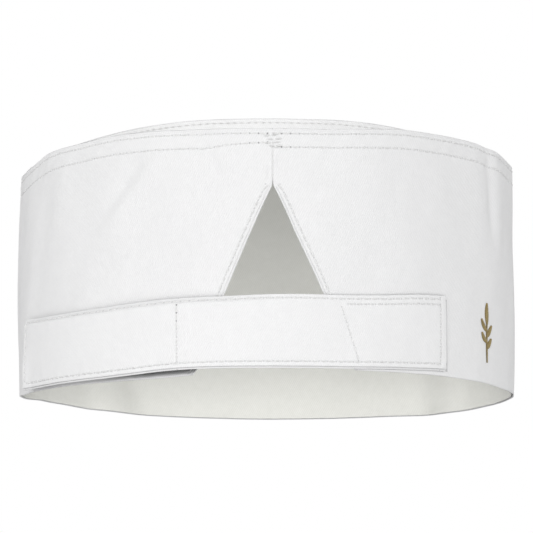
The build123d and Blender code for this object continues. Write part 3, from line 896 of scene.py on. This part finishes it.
def hem_grid():
    ends = np.array([0, 0.05, 0.14, 0.28, 0.5, 0.8, 1.2, 1.8])
    arcs = np.concatenate([ends, np.arange(2.6, GIRTH - 2.6, 0.75), (GIRTH - ends)[::-1]])
    runs = np.concatenate([
        [0, 0.05, 0.12], np.linspace(0.2, 2.2, 15), np.arange(2.45, HEM_LENGTH - 0.6, 0.3),
        HEM_LENGTH - np.array([0.5, 0.28, 0.14, 0.05, 0])])
    arc, run = np.meshgrid(arcs, runs)
    from_seam = np.minimum(arc, GIRTH - arc)
    edge = np.clip(np.minimum(from_seam, np.minimum(run, HEM_LENGTH - run)), 0, None)
    # the ends lap at the seam
    lap = np.where(arc < GIRTH / 2, -0.25, 0.25) * np.clip(1 - from_seam / 6, 0, None)
    return arc + lap, run, edge


grid = hem_grid()
arc, run, _ = grid
depth = hem_line(run)[1]
turned = sheet("band_outer_turned_hem", grid, HEM_THICK, 0.0, (hem, hem), {
    "fab": pair(arc, run),
    "hem": pair(arc, np.where(run > HEM_DOWN, depth, FAR)),
    "hem2": pair(arc, np.where(run > HEM_DOWN, depth - lower_row(arc), FAR)),
    "vent": np.full(arc.shape + (2,), VENT_FAR),
    "lap": np.full(arc.shape + (2,), VENT_FAR)}, OUTER_TWILL, rounding=HEM_THICK / 2)
fit(turned, "band", "outer_twill", "band_outer")


# ------------------------------------------------------------------ the band's stitches
def on_lining(arc, z, off):
    return lining_inner(arc, z, off + LINING_MIDDLE - LINING_THICK / 2)


def on_turned_hem(arc, z, off):
    return lining_inner(arc, z, off - 1.50 - HEM_THICK / 2)


for level, row_depth in (("upper", lambda arc: UPPER_ROW), ("lower", lower_row)):
    def hem_path(run):
        return run, height(run) - row_depth(run)

    sew(f"top_hem_stitches_{level}", [
        stitches(hem_path, GIRTH, band),
        stitches(hem_path, GIRTH - 2, on_turned_hem, side=-1.0, start=1.5)],
        "band", f"top_hem_stitching_{level}")

LEG_ABOVE = 0.6  # the vent's rows begin this far over its apex


def leg(side):
    """Path down one leg of the vent; side is 1 on the right."""
    def path(run):
        drop = run / VENT_STRETCH
        z = VENT_APEX + LEG_ABOVE - drop
        return side * (vent_half(z) + VENT_ROW * VENT_STRETCH * ease(-1.5, 3.0, drop)), z
    return path


sew("vent_edge_stitches", [
    stitches(leg(side), 60.6 * VENT_STRETCH, band, start=LEG_ABOVE * VENT_STRETCH)
    for side in (1, -1)] + [
    stitches(leg(side), 58.0 * VENT_STRETCH, on_lining, side=-1.0, start=1.5)
    for side in (1, -1)], "band", "vent_edge_stitching")

# the seam's own thread, down in the groove
sew("centre_back_seam_thread", [
    stitches(straight(0.0, 72.5, z_step=-1.0), 11.5, band, pitch=2.4, gap=0.9, lift=-0.02,
             radius=0.12)], "band", "centre_back_stitching")

# Back tack, short bars where the hem rows start and stop: (z, arc of the middle, length)
TACK_BARS = [(77.5, -0.7, 5.2), (76.2, 0.5, 5.6), (75.0, -0.2, 6.0), (73.9, 0.9, 5.0),
             (78.3, 1.4, 4.0)]
sew("hem_back_tack_stitches", [
    stitches(straight(middle - length / 2, z, arc_step=1.0, z_step=0.06), length + 0.01, band,
             pitch=length / 2, gap=0.35, lift=0.10)
    for z, middle, length in TACK_BARS], "band", "hem_back_tack")


# ------------------------------------------------------------------ the strap's sheets
STRAP_Z_STEPS = np.array([
    0, 0.05, 0.14, 0.28, 0.45, 0.65, 0.9, 1.15, 1.4, 1.6, 1.85, 2.15, 2.5, 2.75, 3.0, 3.4, 4.0])
STRAP_CUT = -5.0  # where the two halves of each layer meet
CLOTH_THICK, CLOTH_MIDDLE = 0.46, 0.74
# Blends: (part, part, start arc, end arc, off)
FOLD_BLEND = ("band", "strap_bridge", 25.4, 17.9, 1.0)
PEEL_BLEND = ("strap_bridge", "strap_tip", -27.4, -34.6, 3.3)


def strap_grid(left, right, bottom, top, open_ends):
    low, high = (np.array([0.0] if is_open else EDGE_STEPS) for is_open in open_ends)
    start, end = left + low[-1], right - high[-1]
    middle = np.linspace(start, end, int(round((end - start) / 0.75)) + 1)[1:-1]
    arcs = np.concatenate([left + low, middle, (right - high)[::-1]])
    width = top - bottom
    middle = np.linspace(4.0, width - 4.0, 18)[1:-1]
    levels = np.concatenate([STRAP_Z_STEPS, middle, (width - STRAP_Z_STEPS)[::-1]]) + bottom
    arc, z = np.meshgrid(arcs, levels)
    edge = np.minimum(z - bottom, top - z)
    if not open_ends[0]:
        edge = np.minimum(edge, arc - left)
    if not open_ends[1]:
        edge = np.minimum(edge, right - arc)
    return arc, z, np.clip(edge, 0, None)


def strap_uvs(arc, z):
    across = from_slant(arc, z)
    by_slant = (arc > 15) & (z > 2.2) & (z < 22.8)
    in_box = (across > 0.3) & (arc < RIGHT_ROW + 0.2)
    return {
        "fab": pair(arc, z),
        "slant": pair(z * math.hypot(1, SLANT_LEAN), np.where(by_slant, across, FAR)),
        "box": pair(arc, np.where(in_box, z - BOX_ROW, FAR))}


# (name, part suffix, thickness, middle, bottom, top, end inset, hollows on outer, inner face)
STRAP_LAYERS = [
    ("cloth", "outer", CLOTH_THICK, CLOTH_MIDDLE, 0.55, STRAP_WIDTH, 0.0, (1.0, 0.5)),
    ("backing", "backing", 0.42, 0.24, -0.1, STRAP_WIDTH - 0.35, 0.35, (0.3, 0.0))]

for layer, suffix, thick, middle, bottom, top, inset, shares in STRAP_LAYERS:
    surfaces = [lambda arc, z, off, share=share: strap(arc, z, off, share) for share in shares]
    for half, left, right, open_ends, follows, parts in (
            ("sewn", STRAP_CUT, STRAP_RIGHT - inset, (True, False), FOLD_BLEND,
             ("strap_anchor_", "strap_bridge_")),
            ("free", STRAP_LEFT + inset, STRAP_CUT, (False, True), PEEL_BLEND,
             ("strap_tip_",))):
        grid = strap_grid(left, right, bottom, top, open_ends)
        piece = sheet(f"strap_{layer}_{half}_half", grid, thick, middle, surfaces,
                      strap_uvs(*grid[:2]), STRAP_TWILL, rounding=0.42 * thick / 0.5,
                      open_ends=open_ends)
        fit(piece, follows, "strap_twill", *(part + suffix for part in parts))


# ------------------------------------------------------------------ the strap's stitches
def on_strap(arc, z, off):
    return strap(arc, z, off + CLOTH_MIDDLE + CLOTH_THICK / 2)


# stitches start on whole multiples of the pitch, where the needle holes are
def first_hole(start, pitch):
    return math.ceil(start / pitch) * pitch


def row_along(z, start, end, pitch=PITCH):
    first = first_hole(start, pitch)
    return stitches(straight(first, z, arc_step=1.0), end - first, on_strap, pitch=pitch)


def row_up(arc, start, end, pitch=PITCH):
    first = first_hole(start, pitch)
    return stitches(straight(arc, first, z_step=1.0), end - first, on_strap, pitch=pitch)


def slanted_row():
    stretch = math.hypot(1, SLANT_LEAN)
    first = first_hole(2.6 * stretch, SLANT_PITCH)

    def path(run):
        z = (first + run) / stretch
        return slant(z), z
    return stitches(path, 23.2 * stretch - first, on_strap, pitch=SLANT_PITCH)


sew("strap_stitches_sewn_half", [
    row_along(LOW_ROW, STRAP_CUT + 2, STRAP_RIGHT - 1.5),
    row_along(HIGH_ROW, STRAP_CUT + 2, STRAP_RIGHT - 1.5),
    row_up(RIGHT_ROW, 2.0, 24.0, RIGHT_PITCH),
    slanted_row(),
    row_along(BOX_ROW, slant(BOX_ROW) + 1.0, RIGHT_ROW, BOX_PITCH)],
    FOLD_BLEND, "strap_anchor_stitching", "strap_bridge_stitching")
sew("strap_stitches_free_half", [
    row_along(LOW_ROW, STRAP_LEFT + 1.5, STRAP_CUT + 2.1),
    row_along(HIGH_ROW, STRAP_LEFT + 1.5, STRAP_CUT + 2.1),
    row_up(TAIL_ROW, 2.0, 24.0)], PEEL_BLEND, "strap_tip_stitching")
sew("hook_tape_end_stitches", [row_up(GRIP_ROW, 2.7, 24.0, GRIP_PITCH)],
    PEEL_BLEND, "hook_tape_stitching")


# ------------------------------------------------------------------ loop tape
TAPE_LEFT, TAPE_RIGHT, TAPE_BOTTOM, TAPE_WIDTH = -106.5, -33.0, 2.5, 20.0
WEB_THICK, LOOP_WEB_MIDDLE = 0.30, 0.24


def tape_grid(step, left, right, bottom, top):
    ends = np.array([0, 0.05, 0.14, 0.28, 0.6])
    arcs = np.arange(left + 1.5, right - 1.2, step)
    levels = np.linspace(bottom + 1.4, top - 1.4, int((top - bottom) / step))
    arc, z = np.meshgrid(np.concatenate([left + ends, arcs, (right - ends)[::-1]]),
                         np.concatenate([bottom + ends, levels, (top - ends)[::-1]]))
    edge = np.minimum(np.minimum(arc - left, right - arc), np.minimum(z - bottom, top - z))
    return arc, z, np.clip(edge, 0, None)


def tape_on_band(arc, z, off):
    """The loop tape lies on the band's left end and leans with it."""
    return place(arc, off + hang(arc, z), strap_z(arc, z))


web_grid = tape_grid(1.5, TAPE_LEFT, TAPE_RIGHT, TAPE_BOTTOM, TAPE_BOTTOM + TAPE_WIDTH)
web_uvs = {"fab": pair(*web_grid[:2])}
piece = sheet("loop_tape_web_strip", web_grid, WEB_THICK, LOOP_WEB_MIDDLE,
              (tape_on_band, tape_on_band), web_uvs, WEB, rounding=WEB_THICK / 2)
fit(piece, "band", "tape_web", "loop_tape_web")

rng = np.random.default_rng(7)
grid = tape_grid(1.0, TAPE_LEFT + 2.5, TAPE_RIGHT - 2.5, 4.0, 21.0)
bumps = 0.13 * rng.random(grid[0].shape) * (grid[2] > 0.5)


def pile_top(arc, z, off):
    return tape_on_band(arc, z, off + bumps)


piece = sheet("loop_tape_pile_mat", grid, 0.34, 0.55, (pile_top, tape_on_band),
              {"fab": pair(*grid[:2])}, PILE, rounding=0.3)
fit(piece, "band", "loop_pile", "loop_tape_pile")


def pile_loops():
    """Single loops standing on the pile, each turned its own way."""
    arc, z = np.meshgrid(np.linspace(TAPE_LEFT + 3.4, TAPE_RIGHT - 3.4, 72),
                         np.linspace(4.8, 20.2, 16))
    arc = (arc + rng.uniform(-0.4, 0.4, arc.shape)).ravel()[:, None]
    z = (z + rng.uniform(-0.35, 0.35, z.shape)).ravel()[:, None]
    heading = rng.uniform(0, math.pi, arc.size)[:, None]
    tall = rng.uniform(0.32, 0.55, arc.size)[:, None]
    wide = rng.uniform(0.32, 0.55, arc.size)[:, None]
    bend = np.linspace(-0.12, 1.12, 7) * math.pi
    across = wide * np.cos(bend)
    arc = arc + across * np.cos(heading)
    z = z + across * np.sin(heading)
    centres = tape_on_band(arc, z, tall * np.sin(bend) + 0.66)
    _, _, out_x, out_y = plan(arc)
    level, upright = -np.sin(heading), np.broadcast_to(np.cos(heading), arc.shape)
    normals = np.stack([-out_y * level, out_x * level, upright], -1)
    piece = tubes("loop_tape_loops", centres, normals, np.full(7, 0.055), 4, LOOP_FILAMENT)
    fit(piece, "band", "loop_pile")


pile_loops()


def on_web(arc, z, off):
    return tape_on_band(arc, z, off + LOOP_WEB_MIDDLE + WEB_THICK / 2)


END_MARGIN, SIDE_MARGIN = 1.2, 0.8  # from the tape's edges to its rows
low = TAPE_BOTTOM + SIDE_MARGIN
sew("loop_tape_stitches", [
    stitches(straight(TAPE_LEFT + END_MARGIN, z, arc_step=1.0),
             TAPE_RIGHT - TAPE_LEFT - 2 * END_MARGIN, on_web)
    for z in (low, TAPE_BOTTOM + TAPE_WIDTH - SIDE_MARGIN)] + [
    stitches(straight(arc, low, z_step=1.0), TAPE_WIDTH - 2 * SIDE_MARGIN, on_web)
    for arc in (TAPE_LEFT + END_MARGIN, TAPE_RIGHT - END_MARGIN)],
    "band", "loop_tape_stitching")


# ------------------------------------------------------------------ hook tape
def under_strap(arc, z, off):
    """off counts from the strap's inner face."""
    return strap(arc, z, off, 0.0)


piece = sheet("hook_tape_web_strip", web_grid, WEB_THICK, -0.18, (under_strap, under_strap),
              web_uvs, WEB, rounding=WEB_THICK / 2)
fit(piece, "strap_tip", "tape_web", "hook_tape_web")

# A hook is a stem and a crook: (arc, off before scaling, radius)
HOOK = np.array([
    (0.0, 0.0, 0.11), (0.02, -0.22, 0.10), (0.03, -0.42, 0.095), (0.08, -0.58, 0.09),
    (0.20, -0.67, 0.09), (0.33, -0.63, 0.085), (0.40, -0.52, 0.08), (0.40, -0.42, 0.06)])
HOOK_SCALE, HOOK_ROOT = 0.72, -0.30


def hook_field():
    """Single hooks in staggered rows, facing left or right at random."""
    rows = 12
    arc, z = np.meshgrid(np.arange(TAPE_LEFT + 3.4, TAPE_RIGHT - 3.2, 1.45),
                         np.linspace(4.7, 20.3, rows))
    arc = (arc + 0.7 * (np.arange(rows) % 2)[:, None]).ravel()
    facing = np.where(rng.random(arc.shape) > 0.5, 1.0, -1.0)
    arc = arc[:, None] + facing[:, None] * HOOK[:, 0]
    z = np.broadcast_to(z.ravel()[:, None], arc.shape)
    off = np.broadcast_to(HOOK[:, 1] * HOOK_SCALE + HOOK_ROOT, arc.shape)
    centres = under_strap(arc, z, off)
    normals = np.broadcast_to(np.array([0, 0, 1.0]), centres.shape)
    piece = tubes("hook_tape_hooks_field", centres, normals, HOOK[:, 2], 5, HOOK_FILAMENT)
    fit(piece, "strap_tip", "hook_filament", "hook_tape_hooks")


hook_field()

# ------------------------------------------------------------------ embroidered sprig
SPRIG_ARC, SPRIG_Z = 92.0, 16.6
# Leaves, then the stem: (arc, z, length, width, angle in degrees, curve, thread pitch)
SPRIG = [
    (0, 3.2, 7.2, 2.3, 90, 0.0, 0.34),
    (0.15, -0.6, 5.4, 1.75, 46, -0.35, 0.34), (-0.15, 0.9, 5.4, 1.75, 134, 0.35, 0.34),
    (0.15, -4.4, 4.8, 1.75, 42, -0.35, 0.34), (-0.15, -2.9, 4.8, 1.75, 138, 0.35, 0.34),
    (0.0, -9.6, 13.2, 0.55, 90, 0.0, 0.42)]
SATIN_RADII = THREAD_RADIUS * np.array([0.6, 0.9, 1, 1, 1, 1, 1, 0.9, 0.6])


def satin(root_arc, root_z, length, width, angle, curve, pitch):
    """Threads laid side by side across a leaf, at a slant to its middle line."""
    count = int(length / pitch)
    part = ((np.arange(count) + 0.5) / count)[:, None]
    half = 0.5 * width * np.sin(math.pi * part ** 0.85) ** 0.8 + 0.12
    across = np.linspace(-1, 1, len(SATIN_RADII))
    along = part * length + half * across * 0.45
    aside = half * across + curve * np.sin(math.pi * part)
    cos, sin = math.cos(math.radians(angle)), math.sin(math.radians(angle))
    arc = SPRIG_ARC + root_arc + along * cos - aside * sin
    z = SPRIG_Z + root_z + along * sin + aside * cos
    off = 0.02 + 0.34 * np.sqrt(np.clip(1 - across ** 2, 0, 1)) + 0 * arc
    return centre_line(band, arc, z, off)


centres, normals = (np.concatenate(group) for group in zip(*(satin(*leaf) for leaf in SPRIG)))
piece = tubes("embroidered_sprig_threads", centres, normals, SATIN_RADII, 6, GOLD_THREAD)
fit(piece, "band", "gold_thread", "embroidered_sprig")

# ------------------------------------------------------------------ floor (metres from here on)
scene = bpy.context.scene
scene.view_settings.view_transform = "Standard"
scene.view_settings.look = "None"
scene.view_settings.exposure = 0.0
scene.view_settings.gamma = 1.0

FLOOR_HALF, FLOOR_Z = 4.0, -0.0048


def floor_material():
    """A backdrop: only the camera sees it, and only from above."""
    material = bpy.data.materials.new("pale_floor")
    tree = empty_tree(material)
    is_camera = node(tree, "LightPath", output="Is Camera Ray")
    backfacing = node(tree, "NewGeometry", output="Backfacing")
    diffuse = node(tree, "BsdfDiffuse", {"Color": (0.86, 0.86, 0.855, 1)})
    glow = node(tree, "Emission", {"Color": (1.0, 1.0, 1.0, 1), "Strength": 0.22})
    shown = node(tree, "AddShader", {0: diffuse, 1: glow})
    hidden = 1.0 - is_camera * (1.0 - backfacing)
    clear = node(tree, "BsdfTransparent")
    node(tree, "OutputMaterial", {0: node(tree, "MixShader", {0: hidden, 1: shown, 2: clear})})
    return material


mesh = bpy.data.meshes.new("floor")
mesh.from_pydata([(x * FLOOR_HALF, y * FLOOR_HALF, FLOOR_Z)
                  for x, y in ((-1, -1), (1, -1), (1, 1), (-1, 1))], [], [(0, 1, 2, 3)])
floor = bpy.data.objects.new("floor", mesh)
scene.collection.objects.link(floor)
mesh.materials.append(floor_material())

# ------------------------------------------------------------------ world
# Brightness per direction, blended as squared cosines; the camera sees plain white
SKY = {"+x": 1.08, "-x": 0.96, "+y": 0.20, "-y": 0.22, "+z": 0.12, "-z": 0.05}

world = bpy.data.worlds.new("studio")
scene.world = world
tree = empty_tree(world)
direction = node(tree, "TexCoord", output="Generated")
axes = node(tree, "SeparateXYZ", {0: direction}).socket.node.outputs
total = None
for (sign, axis), brightness in SKY.items():
    component = Link(axes["xyz".index(axis)])
    facing = component if sign == "+" else component * -1.0
    lobe = calc("POWER", calc("MAXIMUM", facing, 0.0), 2.0) * brightness
    total = lobe if total is None else total + lobe
sky = node(tree, "Background", {"Color": (1, 1, 1, 1), "Strength": total})
plain = node(tree, "Background", {"Color": (1, 1, 1, 1), "Strength": 1.0})
is_camera = node(tree, "LightPath", output="Is Camera Ray")
node(tree, "OutputWorld", {0: node(tree, "MixShader", {0: is_camera, 1: sky, 2: plain})})

# ------------------------------------------------------------------ lights
INSIDE = [lining, turned, core]
LIGHT_TARGET = Vector((0, 0, 0.05))


def area(name, location, power, size=0.9, tall=None, only=None, skip=None):
    """Area light; only or skip lists the objects it lights or leaves out."""
    data = bpy.data.lights.new(name, "AREA")
    data.shape = "RECTANGLE"
    data.size, data.size_y = size, tall or size
    data.energy = power
    light = bpy.data.objects.new(name, data)
    scene.collection.objects.link(light)
    light.location = location
    light.rotation_mode = "QUATERNION"
    light.rotation_quaternion = (LIGHT_TARGET - Vector(location)).to_track_quat("-Z", "Y")
    if only or skip:
        group = bpy.data.collections.new(name + "_receivers")
        for piece in only or skip:
            group.objects.link(piece)
        if skip:
            for member in group.collection_objects:
                member.light_linking.link_state = "EXCLUDE"
        light.light_linking.receiver_collection = group


area("key", (-0.35, -1.6, 0.60), power=8.4, skip=INSIDE)
area("front", (0.3, -1.7, -0.15), power=5.5, skip=INSIDE)
area("right", (1.35, -1.0, 0.30), power=1.7, skip=INSIDE)
area("left", (-1.35, -1.0, 0.30), power=4.3, skip=INSIDE)
area("floor_bounce", (0.0, -1.15, -0.58), power=3.3)
area("under", (0.0, -1.2, -0.46), power=8.6, only=INSIDE)
area("low_front", (-0.35, -1.5, -0.165), power=6.0, size=1.0, tall=0.2, only=INSIDE)
area("hem", (0.35, -1.45, 0.25), power=9.4, size=0.6, only=[turned])
area("far_side", (0.15, 1.65, 0.30), power=13.0, skip=INSIDE)
area("back", (-0.4, 1.6, 0.7), power=3.0, size=1.0)

# ------------------------------------------------------------------ camera
# It looks at the centre back, from a little to the left, below, and tilted up
CAMERA_TURN, CAMERA_TILT = 0.0321, 0.1651  # radians
CAMERA_DISTANCE, CAMERA_ASIDE, CAMERA_Z = 830.0, 0.896, -89.7  # mm

camera_data = bpy.data.cameras.new("camera")
camera = bpy.data.objects.new("camera", camera_data)
scene.collection.objects.link(camera)
camera_data.sensor_width = 36.0
camera_data.lens = 153.85366
cos, sin = math.cos(CAMERA_TURN), math.sin(CAMERA_TURN)
camera.location = ((CAMERA_ASIDE * cos - CAMERA_DISTANCE * sin) * MM,
                   (-CAMERA_ASIDE * sin - CAMERA_DISTANCE * cos + SHIFT_Y) * MM,
                   CAMERA_Z * MM)
camera.rotation_euler = (math.pi / 2 + CAMERA_TILT, 0, -CAMERA_TURN)
camera_data.clip_start, camera_data.clip_end = 0.01, 50.0
scene.camera = camera
